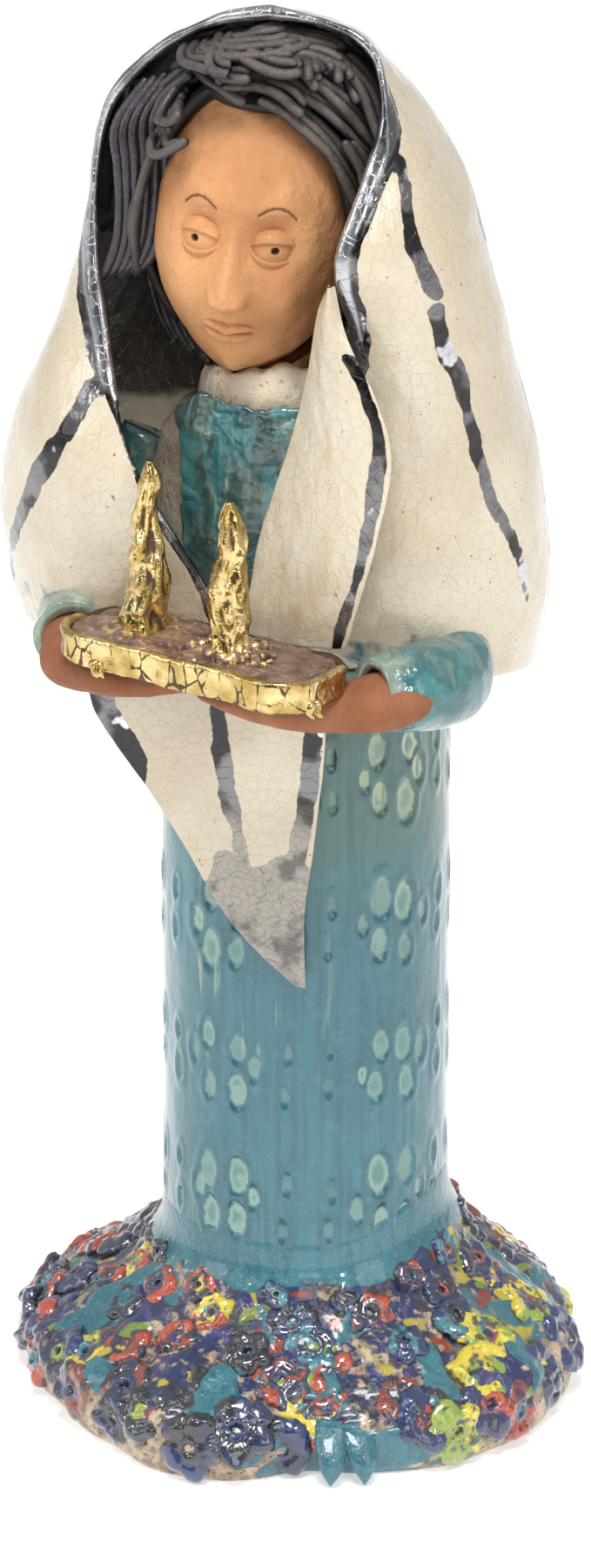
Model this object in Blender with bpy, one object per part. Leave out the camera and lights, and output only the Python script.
"""Hand-built clay figure: a shawled woman holding a tray with two candles, on a flowered mound.

Every length below is in millimetres, in a frame whose Z axis runs up the middle of the dress tube.
+X is the figure's left, -Y is its front. place() turns such a point into metres and moves it so
that the middle of the whole figure's footprint is the origin.
"""

import math

import bmesh
import bpy
from mathutils import Matrix, Vector

MM = 0.001
HEIGHT = 300.0            # floor to the crest of the hood
FOOTPRINT_SHIFT = (0.7, 7.5)

GAP = 0.35                # air left between two pieces that touch
TUBE_RADIUS = 29.7        # outside of the dress tube
WALL = 5.2                # slab that the tube and the torso are rolled from
SHAWL_THICK = 3.0
LAPEL_THICK = 2.6

MOUND_RADIUS = 58.0      # middling: the torn rim wanders either side of it
MOUND_TOP = 38.5
LEDGE_Z = 8.0             # step inside the mound that the tube stands on
BORE_RADIUS = TUBE_RADIUS - WALL

TUBE_TOP = 165.0
TORSO_TOP = 219.0
NECK_CENTRE = (0.0, -14.5)

HEAD_CENTRE = Vector((0.0, -19.5, 254.0))
HEAD_SEMI = Vector((20.5, 21.5, 30.5))
HEAD_ROLL = math.radians(4.0)
HEAD_YAW = math.radians(9.0)
HAIR_THICK = 3.4

TRAY_CENTRE = Vector((1.0, -56.0, 176.2))
TRAY_SIZE = (59.0, 24.0, 6.4)
TRAY_YAW = math.radians(-13.5)
TRAY_ROLL = math.radians(1.2)

# name: (colour, roughness, metallic)
CLAYS = {
    "teal_glaze": ((0.045, 0.25, 0.30), 0.18, 0.0),
    "cream_glaze": ((0.78, 0.70, 0.55), 0.22, 0.0),
    "terracotta": ((0.55, 0.24, 0.11), 0.80, 0.0),
    "hair_clay": ((0.055, 0.048, 0.052), 0.55, 0.0),
    "gold_lustre": ((0.75, 0.55, 0.20), 0.15, 1.0),
    "brown_lustre": ((0.12, 0.075, 0.055), 0.35, 0.3),
    "flower_glaze": ((0.35, 0.10, 0.06), 0.25, 0.0),
    "mound_glaze": ((0.10, 0.17, 0.26), 0.30, 0.0),
}


# ---------------------------------------------------------------- tools

def place(x, y, z):
    return Vector(((x + FOOTPRINT_SHIFT[0]) * MM, (y + FOOTPRINT_SHIFT[1]) * MM, z * MM))


def clay(name):
    found = bpy.data.materials.get(name)
    if found:
        return found
    colour, roughness, metallic = CLAYS[name]
    made = bpy.data.materials.new(name)
    made.use_nodes = True
    shader = made.node_tree.nodes["Principled BSDF"]
    shader.inputs["Base Color"].default_value = (*colour, 1.0)
    shader.inputs["Roughness"].default_value = roughness
    shader.inputs["Metallic"].default_value = metallic
    return made


def add_object(name, points, faces, clay_name):
    """An object whose mesh holds these points (millimetres) with its faces turned outwards."""
    mesh = bpy.data.meshes.new(name)
    mesh.from_pydata([place(*p) for p in points], [], faces)
    tidy = bmesh.new()
    tidy.from_mesh(mesh)
    bmesh.ops.remove_doubles(tidy, verts=tidy.verts, dist=1e-6)
    bmesh.ops.dissolve_degenerate(tidy, edges=tidy.edges, dist=1e-6)
    bmesh.ops.recalc_face_normals(tidy, faces=tidy.faces)
    tidy.to_mesh(mesh)
    tidy.free()
    mesh.shade_smooth()
    mesh.set_sharp_from_angle(angle=math.radians(50))
    mesh.materials.append(clay(clay_name))
    obj = bpy.data.objects.new(name, mesh)
    bpy.context.scene.collection.objects.link(obj)
    return obj


def loft(name, rings, clay_name, hoop=False):
    """A solid through closed rings of equal count; hoop joins the last ring to the first."""
    count = len(rings[0])
    points = [p for ring in rings for p in ring]
    faces = []
    steps = len(rings) if hoop else len(rings) - 1
    for i in range(steps):
        a, b = i * count, ((i + 1) % len(rings)) * count
        for j in range(count):
            k = (j + 1) % count
            faces.append((a + j, a + k, b + k, b + j))
    if not hoop:
        faces.append(tuple(range(count))[::-1])
        faces.append(tuple(range((len(rings) - 1) * count, len(rings) * count)))
    return add_object(name, points, faces, clay_name)


def sheet(name, grid, thickness, clay_name):
    """A slab: the grid of points is its middle surface."""
    columns = len(grid[0])
    points = [p for row in grid for p in row]
    faces = []
    for i in range(len(grid) - 1):
        for j in range(columns - 1):
            a = i * columns + j
            faces.append((a, a + 1, a + columns + 1, a + columns))
    obj = add_object(name, points, faces, clay_name)
    slab = obj.modifiers.new("slab", "SOLIDIFY")
    slab.thickness = thickness * MM
    slab.offset = 0.0
    slab.use_even_offset = True
    return obj


def smooth_path(points, steps):
    """Catmull-Rom curve through the points, with this many steps between two of them."""
    knots = [Vector(p) for p in points]
    knots = [2 * knots[0] - knots[1], *knots, 2 * knots[-1] - knots[-2]]
    path = []
    for a, b, c, d in zip(knots, knots[1:], knots[2:], knots[3:]):
        for i in range(steps):
            t = i / steps
            path.append(0.5 * (2 * b + (c - a) * t + (2 * a - 5 * b + 4 * c - d) * t * t
                               + (3 * b - a - 3 * c + d) * t ** 3))
    return [*path, knots[-2]]


def rope(name, points, radii, clay_name, sides=8, steps=3, flat=1.0):
    """A round bar along a smooth path; radii are given at the same points, flat squeezes it in Z."""
    path = smooth_path([(*p, r) if len(p) == 3 else p for p, r in zip(points, radii)], steps)
    centres = [Vector(p[:3]) for p in path]
    rings = []
    side = None
    for i, (centre, full) in enumerate(zip(centres, path)):
        ahead = (centres[min(i + 1, len(path) - 1)] - centres[max(i - 1, 0)]).normalized()
        side = ahead.cross(Vector((0, 0, 1))) if side is None else side - ahead * side.dot(ahead)
        if side.length < 1e-3:
            side = ahead.cross(Vector((0, 1, 0)))
        side.normalize()
        up = side.cross(ahead)
        turn = [2 * math.pi * j / sides for j in range(sides)]
        rings.append([centre + full[3] * (side * math.cos(a) + up * math.sin(a) * flat)
                      for a in turn])
    return loft(name, rings, clay_name)


def finished_mesh(obj):
    graph = bpy.context.evaluated_depsgraph_get()
    return bpy.data.meshes.new_from_object(obj.evaluated_get(graph))


def largest_body(mesh):
    """Drops the loose crumbs that a cut can leave, keeping the biggest connected body."""
    work = bmesh.new()
    work.from_mesh(mesh)
    left = set(work.verts)
    bodies = []
    while left:
        seed = left.pop()
        body, front = {seed}, [seed]
        while front:
            for edge in front.pop().link_edges:
                for vertex in edge.verts:
                    if vertex in left:
                        left.discard(vertex)
                        body.add(vertex)
                        front.append(vertex)
        bodies.append(body)
    keep = max(bodies, key=len)
    bmesh.ops.delete(work, geom=[v for v in work.verts if v not in keep], context="VERTS")
    work.to_mesh(mesh)
    work.free()


def cut_clear(piece, *neighbours, gap=GAP):
    """Cuts the piece back from its neighbours, so that this much air stays between them."""
    for neighbour in neighbours:
        mesh = finished_mesh(neighbour)
        for vertex, normal in [(v, v.normal.copy()) for v in mesh.vertices]:
            vertex.co += normal * gap * 1.15 * MM
        cutter = bpy.data.objects.new("cutter_" + neighbour.name, mesh)
        bpy.context.scene.collection.objects.link(cutter)
        cut = piece.modifiers.new("clear_of_" + neighbour.name, "BOOLEAN")
        cut.operation = "DIFFERENCE"
        cut.object = cutter
        done = finished_mesh(piece)
        bpy.data.objects.remove(cutter)
        piece.modifiers.clear()
        piece.data = done
    largest_body(piece.data)
    return piece


def blend(table, at):
    """Straight-line reading of a table of (key, value, ...) rows, ordered by key."""
    if at <= table[0][0]:
        return table[0][1:]
    for low, high in zip(table, table[1:]):
        if at <= high[0]:
            t = (at - low[0]) / (high[0] - low[0])
            return tuple(p + (q - p) * t for p, q in zip(low[1:], high[1:]))
    return table[-1][1:]


def smoothstep(low, high, at):
    t = min(1.0, max(0.0, (at - low) / (high - low)))
    return t * t * (3 - 2 * t)


# ---------------------------------------------------------------- mound and dress

# outside of the mound, floor to collar: share of the rim radius, height
MOUND_OUTSIDE = [(0.965, 0.0), (0.99, 2.0), (1.0, 6.0), (0.985, 11.0), (0.93, 15.5), (0.83, 20.0),
                 (0.71, 25.0), (0.60, 31.0), (0.54, MOUND_TOP)]

# how far the hand-torn rim reaches, every 22.5 degrees from the figure's left towards its back
RIM_REACH = [58.0, 56.0, 54.5, 54.5, 55.5, 55.5, 54.5, 56.5,
             59.5, 59.5, 57.5, 59.0, 62.5, 54.5, 58.5, 59.5]


def mound_lobes(angle):
    """How the rim wanders in and out, as a share of its middling radius."""
    count = len(RIM_REACH)
    at = angle / (2 * math.pi) * count
    i = math.floor(at)
    t = at - i
    a, b, c, d = (RIM_REACH[(i + k) % count] for k in (-1, 0, 1, 2))
    reach = 0.5 * (2 * b + (c - a) * t + (2 * a - 5 * b + 4 * c - d) * t * t
                   + (3 * b - a - 3 * c + d) * t ** 3)
    return reach / MOUND_RADIUS - 1 + 0.008 * math.sin(17 * angle)


def mound_point(angle, share, height):
    """A point of the mound's outside; its folds die out towards the collar."""
    loose = smoothstep(0.56, 0.95, share)
    radius = MOUND_RADIUS * share * (1 + mound_lobes(angle) * loose)
    return radius * math.cos(angle), radius * math.sin(angle), height


def mound_surface(angle, along):
    """along runs from 0 at the rim's widest ring to 1 at the collar."""
    flank = MOUND_OUTSIDE[2:]
    at = along * (len(flank) - 1)
    i = min(int(at), len(flank) - 2)
    (s0, z0), (s1, z1) = flank[i], flank[i + 1]
    return mound_point(angle, s0 + (s1 - s0) * (at - i), z0 + (z1 - z0) * (at - i))


def make_mound():
    angles = [2 * math.pi * i / 54 for i in range(54)]
    rings = [[mound_point(a, share, z) for a in angles] for share, z in MOUND_OUTSIDE]
    socket = TUBE_RADIUS + GAP
    for radius, z in [(socket, MOUND_TOP), (socket, LEDGE_Z), (BORE_RADIUS, LEDGE_Z),
                      (BORE_RADIUS, 0.0)]:
        rings.append([(radius * math.cos(a), radius * math.sin(a), z) for a in angles])
    return loft("base_mound", rings, "mound_glaze", hoop=True)


def make_dress_tube():
    """The rolled slab of the skirt, open at both ends."""
    angles = [2 * math.pi * i / 48 for i in range(48)]
    heights = [LEDGE_Z + GAP, 60.0, 112.0, TUBE_TOP]
    walls = [(TUBE_RADIUS, z) for z in heights] + [(BORE_RADIUS, z) for z in heights[::-1]]
    rings = [[(r * math.cos(a), r * math.sin(a), z) for a in angles] for r, z in walls]
    return loft("dress_tube", rings, "teal_glaze", hoop=True)


# height: half width, half depth, how far the section has moved along Y
TORSO = [(TUBE_TOP, 29.7, 29.7, 0.0), (185.0, 30.0, 28.0, -2.0), (200.0, 29.2, 25.0, -5.0),
         (208.0, 26.5, 22.5, -7.5), (214.0, 21.5, 18.5, -11.0), (TORSO_TOP, 12.5, 12.0, -14.5)]


def torso_point(angle, z, grow=0.0):
    half_x, half_y, shift = blend(TORSO, z)
    return (half_x + grow) * math.cos(angle), shift + (half_y + grow) * math.sin(angle), z


def make_torso():
    """The closed shoulders on top of the tube, hollow from below."""
    angles = [2 * math.pi * i / 36 for i in range(36)]
    outside = [TUBE_TOP + GAP, 185.0, 200.0, 208.0, 214.0, TORSO_TOP]
    inside = [207.0, 200.0, 185.0, TUBE_TOP + GAP]
    rings = [[torso_point(a, z) for a in angles] for z in outside]
    inner = [[torso_point(a, z, -WALL) for a in angles] for z in inside]
    lid = [(p[0] * 0.5, -8.0 + (p[1] + 8.0) * 0.5, 209.0) for p in inner[0]]
    rings = [lid, *inner]
    rings += [[torso_point(a, z) for a in angles] for z in outside]
    return loft("torso", rings, "cream_glaze")


def make_bodice():
    """The glazed bib on the chest; its top stands up free of the shoulders."""
    grid = []
    for i in range(9):
        down = i / 8
        row = []
        for j in range(13):
            across = -1 + 2 * j / 12
            top = 221.0 - 3.0 * abs(across) - 1.4 * math.sin(5 * across + 1.0)
            z = top + (180.0 - top) * down
            angle = math.radians(-91.0 + (30.0 - 5.0 * down) * across)
            x, y, _ = torso_point(angle, min(z, 203.0), grow=GAP + 1.6)
            row.append((x, y, z))
        grid.append(row)
    return sheet("bodice_front", grid, 2.2, "teal_glaze")


def make_neck_and_collar(torso, head):
    cx, cy = NECK_CENTRE
    rings = []
    for radius, z in [(9.6, TORSO_TOP + GAP), (8.8, 225.0), (8.8, 236.0)]:
        rings.append([(cx + radius * math.cos(a), cy - 1.5 + radius * math.sin(a), z)
                      for a in [2 * math.pi * i / 20 for i in range(20)]])
    neck = cut_clear(loft("neck", rings, "terracotta"), head)
    ring = []
    for radius, low in [(10.3, True), (15.5, True), (14.2, False), (10.6, False)]:
        turn = []
        for i in range(28):
            a = 2 * math.pi * i / 28
            rise = 224.0 + 2.2 * math.sin(a + 2.6) + 0.8 * math.sin(4 * a)
            z = 216.0 if low else rise
            turn.append((cx + radius * math.cos(a), cy + radius * math.sin(a), z))
        ring.append(turn)
    collar = cut_clear(loft("collar", ring, "cream_glaze", hoop=True), torso, head, neck)
    return neck, collar


# ---------------------------------------------------------------- head and hair

HEAD_TURN = Matrix.Rotation(HEAD_YAW, 3, "Z") @ Matrix.Rotation(HEAD_ROLL, 3, "Y")


def head_point(around, up, grow=0.0):
    """around is 0 at the face and grows towards the figure's left; up is the latitude."""
    semi = HEAD_SEMI + Vector((grow, grow, grow))
    below = max(0.0, -math.sin(up))
    narrow = 1 - 0.26 * below ** 2
    local = Vector((semi.x * math.cos(up) * math.sin(around) * narrow,
                    -semi.y * math.cos(up) * math.cos(around) * narrow,
                    semi.z * math.sin(up)))
    return HEAD_CENTRE + HEAD_TURN @ local


def hairline(around):
    """Latitude at which the hair starts, high over the forehead and low at the nape."""
    off_front = abs(math.degrees(math.remainder(around, 2 * math.pi)))
    return math.radians(54.0 - 98.0 * smoothstep(20.0, 98.0, off_front))


def make_head():
    turns = [2 * math.pi * i / 28 for i in range(28)]
    rings = [[head_point(a, math.radians(b)) for a in turns] for b in range(-81, 82, 13)]
    return loft("head", rings, "terracotta")


def make_face(head):
    """Pellets and coils of clay pressed on the face: two eyes, a nose and two lips."""
    made = []
    spots = {"eye_right": (-22, 3), "eye_left": (22, 3)}
    for name, (around, up) in spots.items():
        middle = head_point(math.radians(around), math.radians(up), grow=0.2)
        made.append(pellet(name, middle, (3.9, 2.6, 3.4), "terracotta"))
    bridge = head_point(0.0, math.radians(6), grow=0.2)
    tip = head_point(0.0, math.radians(-14), grow=2.3)
    made.append(rope("nose", [bridge, (bridge + tip) / 2 + Vector((0, -0.9, 0)), tip],
                     [1.5, 1.9, 2.9], "terracotta", sides=8, steps=2))
    for name, up, thick in [("upper_lip", -27.5, 1.25), ("lower_lip", -33.0, 1.45)]:
        arc = [head_point(math.radians(a), math.radians(up + 0.012 * a * a), grow=0.6)
               for a in (-16, -8, 0, 8, 16)]
        made.append(rope(name, arc, [0.5, thick, thick, thick, 0.5], "terracotta", steps=1))
    for piece in made:
        cut_clear(piece, head)
    upper, lower = made[3], made[4]
    cut_clear(upper, lower, made[2])
    return made


def pellet(name, middle, semi, clay_name):
    rings = []
    for i in range(7):
        up = math.radians(-75 + 25 * i)
        rings.append([(middle.x + semi[0] * math.cos(up) * math.cos(a),
                       middle.y + semi[1] * math.cos(up) * math.sin(a),
                       middle.z + semi[2] * math.sin(up))
                      for a in [2 * math.pi * k / 12 for k in range(12)]])
    return loft(name, rings, clay_name)


def make_hair():
    turns = [2 * math.pi * i / 24 for i in range(24)]
    shares = [0.05, 0.16, 0.28, 0.40, 0.52, 0.64, 0.76, 0.88, 1.0]
    top = math.pi / 2

    def ring(share, grow):
        return [head_point(a, top + (hairline(a) - top) * share, grow) for a in turns]

    outer = [ring(s, GAP + HAIR_THICK) for s in shares]
    inner = [ring(s, GAP + 1.3) for s in shares[::-1]]
    made = [loft("hair_cap", outer + inner, "hair_clay")]
    radius = 1.1
    over = HAIR_THICK + 2 * GAP + radius + 0.4
    for i in range(3):
        lift = math.radians(2.0 + 10.5 * i)
        half = math.radians(50 - 6 * i)
        arc = [-half + 2 * half * k / 6 for k in range(7)]
        points = [head_point(a, hairline(a) + lift, grow=over) for a in arc]
        made.append(rope(f"hair_coil_{i + 1}", points, [radius] * 7, "hair_clay", sides=6,
                         steps=2))
    return made


# each lock hangs beside the face: its path, ends included, and its radius
LOCKS = {
    "hair_lock_right_1": ([(-20.5, -33.5, 275), (-23.5, -34.5, 262), (-24.0, -33.5, 249),
                           (-22.5, -32.0, 237), (-19.0, -30.0, 229)], 2.8),
    "hair_lock_right_2": ([(-24.5, -27.0, 272), (-26.2, -27.0, 258), (-26.4, -26.0, 244),
                           (-24.0, -25.0, 233)], 2.4),
    "hair_lock_left_1": ([(23.2, -27.5, 266), (23.6, -27.0, 252), (20.5, -26.0, 239),
                          (15.5, -25.0, 229)], 1.9),
    "hair_lock_left_2": ([(24.6, -22.0, 262), (25.0, -21.0, 248), (22.0, -20.0, 236),
                          (17.5, -19.5, 227)], 1.9),
}


def make_locks(head, hair, collar, torso):
    made = []
    for name, (points, radius) in LOCKS.items():
        ends = [radius * 0.7] + [radius] * (len(points) - 2) + [radius * 0.6]
        lock = rope(name, points, ends, "hair_clay", sides=7, steps=3)
        made.append(cut_clear(lock, head, *hair, collar, torso, *made[-1:]))
    return made


# ---------------------------------------------------------------- shawl

# Ribs of the big slab, crest to hem. Each rib runs round the body from the right front edge, past
# the seam at the middle of the back, to the left front edge:
# seam (y, z), widest half width (right, left), right edge (x, y, z), left edge (x, y, z), and how
# late the rib drops to its seam
RIBS = [
    ((8.0, 286.0), (1.2, 1.2), (1.0, -30.0, 298.4), (1.0, -30.0, 298.4), 1.25),
    ((9.0, 284.0), (9.5, 8.0), (-9.0, -30.0, 295.0), (11.0, -30.0, 297.6), 1.25),
    ((10.5, 280.5), (18.0, 14.0), (-19.0, -30.0, 288.5), (20.5, -30.0, 295.0), 1.25),
    ((12.0, 276.0), (25.5, 20.5), (-27.3, -30.0, 280.0), (27.3, -30.5, 290.0), 1.25),
    ((13.5, 270.0), (29.0, 29.5), (-30.5, -31.0, 271.0), (29.0, -33.0, 279.0), 1.25),
    ((15.5, 262.0), (31.0, 36.5), (-31.3, -32.5, 260.0), (27.0, -38.0, 268.0), 1.25),
    ((18.0, 252.0), (35.5, 40.5), (-30.5, -34.0, 247.0), (23.5, -42.0, 254.0), 1.25),
    ((21.0, 240.0), (40.7, 43.2), (-27.5, -36.5, 235.0), (25.0, -39.5, 240.0), 1.25),
    ((25.0, 226.0), (45.8, 45.6), (-23.5, -40.5, 221.5), (25.0, -36.0, 226.0), 1.25),
    ((29.0, 208.0), (51.3, 48.0), (-17.5, -44.5, 208.0), (21.0, -35.0, 210.0), 1.10),
    ((33.0, 190.0), (56.0, 49.8), (-10.5, -44.5, 197.5), (17.5, -36.0, 197.0), 0.90),
    ((35.5, 172.0), (59.0, 49.5), (-4.5, -42.5, 191.0), (15.0, -37.5, 188.0), 0.90),
    ((36.5, 153.0), (58.0, 47.4), (-1.0, -41.0, 184.0), (14.0, -38.5, 181.5), 0.85),
]


def rib_row(at):
    """The rib table read at a fractional row, smoothed so that no rib shows as a crease."""
    flat = [(*seam, *wide, *right, *left, late) for seam, wide, right, left, late in RIBS]
    i = min(int(at), len(flat) - 2)
    t = at - i
    before = flat[max(i - 1, 0)]
    after = flat[min(i + 2, len(flat) - 1)]
    row = []
    for a, b, c, d in zip(before, flat[i], flat[i + 1], after):
        row.append(0.5 * (2 * b + (c - a) * t + (2 * a - 5 * b + 4 * c - d) * t * t
                          + (3 * b - a - 3 * c + d) * t ** 3))
    return row


def half_rib(edge, seam, wide, late, steps, side):
    """A cubic curve that leaves the front edge outwards and reaches the seam square to it."""
    across = side * edge.x
    bulge = (wide - 0.125 * across) / 0.75
    forward = 5.0 * smoothstep(30.0, 48.0, wide) - 7.0 * (1 - smoothstep(18.0, 34.0, wide))
    points = []
    for k in range(steps + 1):
        t = k / steps
        s = 1 - t
        weights = (s ** 3, 3 * s * s * t, 3 * s * t * t, t ** 3)
        xs = (across, bulge, bulge, 0.0)
        ys = (edge.y, edge.y - forward, seam.y, seam.y)
        points.append((side * sum(w * x for w, x in zip(weights, xs)),
                       sum(w * y for w, y in zip(weights, ys)),
                       edge.z + (seam.z - edge.z) * t ** late))
    return points


def shawl_grid(rows, steps):
    grid = []
    for i in range(rows + 1):
        row = rib_row((len(RIBS) - 1) * i / rows)
        seam = Vector((0.0, *row[0:2]))
        right = half_rib(Vector(row[4:7]), seam, row[2], row[10], steps, -1.0)
        left = half_rib(Vector(row[7:10]), seam, row[3], row[10], steps, 1.0)
        grid.append(right + left[::-1][1:])
    ridge = grid[0][:steps + 1]
    grid[0] = ridge + ridge[::-1][1:]
    return grid


def make_shawl(neighbours):
    slab = sheet("shawl", shawl_grid(rows=20, steps=10), SHAWL_THICK, "cream_glaze")
    return cut_clear(slab, *neighbours)


LAPEL_INNER = [(19.5, -46.5, 247), (16.2, -39.0, 231), (12.2, -37.6, 217), (8.9, -38.4, 206),
               (5.8, -39.2, 195), (4.4, -41.5, 183)]
LAPEL_OUTER = [(22.5, -47.5, 247), (31.5, -48.0, 231), (38.0, -49.5, 221), (37.4, -50.0, 212),
               (34.6, -49.5, 202), (29.0, -48.0, 184)]


def make_lapel(neighbours):
    """The front edge of the shawl turned back over the left of the chest."""
    inner, outer = smooth_path(LAPEL_INNER, 4), smooth_path(LAPEL_OUTER, 4)
    grid = []
    for a, b in zip(inner, outer):
        row = []
        for j in range(7):
            t = j / 6
            belly = Vector((0, -2.2 * math.sin(math.pi * t), 0))
            row.append(tuple(a + (b - a) * t + belly))
        grid.append(row)
    return cut_clear(sheet("shawl_lapel", grid, LAPEL_THICK, "cream_glaze"), *neighbours)


TAIL_RIGHT = [(-27.0, -44.5, 171), (-27.6, -45.5, 160), (-20.0, -43.0, 146), (-12.5, -38.5, 132),
              (-5.0, -35.0, 116.5), (3.5, -33.0, 105.5), (10.5, -32.0, 99.5)]
TAIL_LEFT = [(22.0, -40.0, 171), (20.0, -38.0, 160), (17.5, -34.5, 146), (15.0, -32.8, 132),
             (13.0, -32.2, 116.5), (12.8, -32.0, 105.5), (12.8, -31.8, 99.0)]


def make_tail(neighbours):
    """The pointed end that hangs below the hands."""
    right, left = smooth_path(TAIL_RIGHT, 3), smooth_path(TAIL_LEFT, 3)
    grid = []
    for a, b in zip(right, left):
        row = []
        for j in range(8):
            t = j / 7
            point = a + (b - a) * t
            reach = math.hypot(point.x, point.y)
            clear = TUBE_RADIUS + GAP + 1.6
            if reach < clear:
                point = Vector((point.x * clear / reach, point.y * clear / reach, point.z))
            row.append(tuple(point))
        grid.append(row)
    return cut_clear(sheet("shawl_tail", grid, LAPEL_THICK, "cream_glaze"), *neighbours)


# ---------------------------------------------------------------- arms, tray and candles

ARMS = {
    "left": {
        "sleeve": ([(30, -8, 204), (37, -11, 190), (40, -18, 173), (40, -32, 170.5),
                    (36.5, -46, 170.5)], [6.5, 7.0, 7.6, 8.3, 9.4]),
        "hand": ([(38.0, -49.5, 170), (30.0, -57.5, 167.8), (18.0, -63.0, 167.0),
                  (7.0, -64.0, 168.2)], [4.6, 4.6, 4.2, 2.4]),
    },
    "right": {
        "sleeve": ([(-30, -8, 204), (-36, -12, 190), (-39, -20, 174.5), (-38, -34, 171),
                    (-35, -45.5, 170)], [6.5, 7.0, 7.6, 8.2, 8.8]),
        "hand": ([(-36.5, -48.0, 170.5), (-29.0, -53.0, 168.4), (-17.0, -57.5, 167.4),
                  (-5.0, -58.5, 168.2)], [4.8, 4.6, 4.2, 2.4]),
    },
}


def make_arms(torso, tray):
    sleeves, hands = [], []
    for side, arm in ARMS.items():
        hand = rope(f"hand_{side}", *arm["hand"], "terracotta", sides=12, flat=0.95)
        cut_clear(hand, *tray, *hands)
        path, radii = arm["sleeve"]
        sleeve = rope(f"sleeve_{side}", path, radii, "teal_glaze", sides=14)
        mouth = rope("mouth", [path[-1], hand_start(arm)], [radii[-1] - 2.4] * 2, "teal_glaze",
                     sides=14, steps=1)
        cut_clear(sleeve, torso, mouth, hand, gap=GAP)
        bpy.data.objects.remove(mouth)
        sleeves.append(sleeve)
        hands.append(hand)
    return sleeves, hands


def hand_start(arm):
    first, second = Vector(arm["sleeve"][0][-1]), Vector(arm["hand"][0][1])
    return first + (second - first).normalized() * 8.0


def tray_frame():
    return (Matrix.Translation(TRAY_CENTRE) @ Matrix.Rotation(TRAY_YAW, 4, "Z")
            @ Matrix.Rotation(TRAY_ROLL, 4, "Y"))


def tray_outline(inset, corner, steps=4):
    """Rounded rectangle, counter-clockwise, in the tray's own frame."""
    half_x, half_y = TRAY_SIZE[0] / 2 - inset, TRAY_SIZE[1] / 2 - inset
    corner = max(corner - inset, 0.6)
    points = []
    for i, (sx, sy) in enumerate([(1, 1), (-1, 1), (-1, -1), (1, -1)]):
        for k in range(steps + 1):
            a = math.pi / 2 * (i + k / steps)
            points.append((sx * (half_x - corner) + corner * math.cos(a),
                           sy * (half_y - corner) + corner * math.sin(a)))
    return points


def make_tray():
    """The board, and the gilded strip wrapped round its edge."""
    frame = tray_frame()
    half_z = TRAY_SIZE[2] / 2
    band = 1.8

    def ring(inset, z):
        return [frame @ Vector((x, y, z)) for x, y in tray_outline(inset, 8.0)]

    board = loft("tray_board", [ring(band + GAP, -half_z + 0.6), ring(band + GAP, half_z - 0.7)],
                 "brown_lustre")
    strip = [ring(0.7, -half_z), ring(0.0, -half_z + 1.2), ring(0.0, half_z - 0.8),
             ring(0.6, half_z), ring(band, half_z), ring(band, -half_z)]
    return board, loft("tray_rim", strip, "gold_lustre", hoop=True)


# (x, y) on the tray in its own frame, then (radius, height above the board) up the candle
CANDLES = {
    "right": ((-14.6, 1.2), [(4.9, 0.0), (4.6, 4.0), (4.2, 8.5), (3.2, 12.0), (3.0, 18.0)],
              [(2.3, 18.4), (2.6, 23.0), (2.0, 28.0), (2.1, 31.5), (0.8, 33.0)]),
    "left": ((7.2, -1.4), [(3.7, 0.0), (3.9, 6.0), (4.1, 12.0), (3.3, 17.5)],
             [(2.7, 18.0), (3.0, 22.0), (2.4, 26.0), (0.7, 29.5)]),
}


def make_candles(board):
    frame = tray_frame()
    top = TRAY_SIZE[2] / 2 - 0.7 + GAP
    made = []
    for side, ((cx, cy), stick, flame) in CANDLES.items():
        for name, profile in [(f"candle_{side}", stick), (f"flame_{side}", flame)]:
            rings = []
            for radius, z in profile:
                rings.append([frame @ Vector((cx + radius * math.cos(a), cy + radius * math.sin(a),
                                              top + z))
                              for a in [2 * math.pi * k / 14 for k in range(14)]])
            made.append(loft(name, rings, "gold_lustre"))
    (cx, cy), stick, _ = CANDLES["left"]
    rings = []
    for radius, z in [(7.6, 0.0), (6.6, 1.6), (4.6, 3.2), (stick[0][0] + 0.5, 3.2),
                      (stick[0][0] + 0.5, 0.0)]:
        rings.append([frame @ Vector((cx + radius * math.cos(a), cy + radius * math.sin(a), top + z))
                      for a in [2 * math.pi * k / 16 for k in range(16)]])
    made.append(loft("candle_wax_left", rings, "brown_lustre", hoop=True))
    return made


# ---------------------------------------------------------------- flowers and drips

FLOWER_ROWS = [(12, 0.30, 6.2, 0.0), (8, 0.62, 5.2, 0.5)]   # count, place up the flank, radius, turn


def make_flowers(mound):
    """Two rows of pressed rosettes round the mound."""
    made = []
    for count, along, radius, turn in FLOWER_ROWS:
        for i in range(count):
            angle = 2 * math.pi * (i + turn) / count - math.pi / 2
            made.append(flower(f"flower_{len(made) + 1:02d}", angle, along, radius))
            cut_clear(made[-1], mound)
    return made


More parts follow.
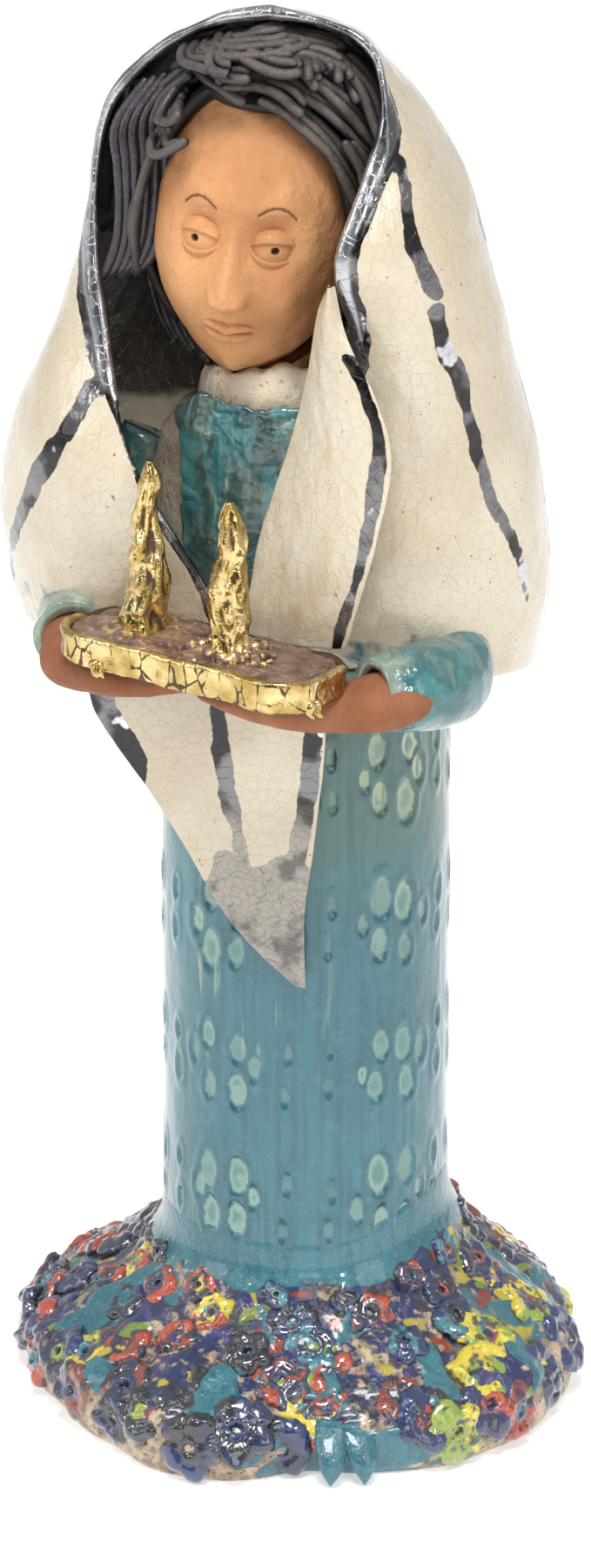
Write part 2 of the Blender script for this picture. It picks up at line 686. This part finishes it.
def flower(name, angle, along, radius):
    """A five-petalled button, set square on the mound's flank."""
    middle = Vector(mound_surface(angle, along))
    up_slope = (Vector(mound_surface(angle, along + 0.08))
                - Vector(mound_surface(angle, along - 0.08))).normalized()
    across = Vector((-math.sin(angle), math.cos(angle), 0.0))
    out = across.cross(up_slope).normalized()
    if out.z < 0:
        out = -out
    rings = []
    for share, height in [(0.70, -1.6), (1.0, 0.4), (0.86, 1.9), (0.45, 2.5), (0.18, 1.7)]:
        ring = []
        for k in range(15):
            a = 2 * math.pi * k / 15
            petal = radius * share * (1 + 0.13 * math.cos(5 * a) * share)
            ring.append(middle + across * petal * math.cos(a) + up_slope * petal * math.sin(a)
                        + out * height)
        rings.append(ring)
    return loft(name, rings, "flower_glaze")


# up a drip from its point: height, half width, how far it stands out from the floor's middle
DRIP = [(0.5, 0.4, 58.4), (3.0, 1.4, 58.8), (6.0, 2.3, 59.0), (9.0, 2.6, 58.8), (11.5, 2.3, 57.4)]


def make_drips(mound, flowers):
    """Two runs of glaze that hang over the front edge and end in points just off the floor."""
    made = []
    for name, degrees in [("glaze_drip_left", -57.0), ("glaze_drip_right", -62.7)]:
        angle = math.radians(degrees)
        across = Vector((-math.sin(angle), math.cos(angle), 0.0))
        outward = Vector((math.cos(angle), math.sin(angle), 0.0))
        rings = []
        for z, half_width, reach in DRIP:
            ring = []
            for k in range(8):
                a = 2 * math.pi * k / 8
                ring.append(outward * (reach + 1.2 * math.sin(a))
                            + across * half_width * math.cos(a) + Vector((0, 0, z)))
            rings.append(ring)
        drip = loft(name, rings, "teal_glaze")
        made.append(cut_clear(drip, mound, *flowers, *made))
    return made


# ---------------------------------------------------------------- the figure

def main():
    for obj in list(bpy.data.objects):
        bpy.data.objects.remove(obj)
    mound = make_mound()
    make_dress_tube()
    torso = make_torso()
    head = make_head()
    bodice = make_bodice()
    _, collar = make_neck_and_collar(torso, head)
    make_face(head)
    hair = make_hair()
    locks = make_locks(head, hair[:1], collar, torso)
    tray = make_tray()
    make_candles(tray[0])
    sleeves, hands = make_arms(torso, tray)
    cut_clear(bodice, torso, collar)
    shawl = make_shawl([torso, *hair, *locks, collar, bodice, *sleeves, *hands, *tray])
    lapel = make_lapel([shawl, bodice, *locks, *sleeves])
    make_tail([shawl, lapel, *sleeves, *hands, *tray])
    flowers = make_flowers(mound)
    make_drips(mound, flowers[:2] + flowers[11:12])


main()
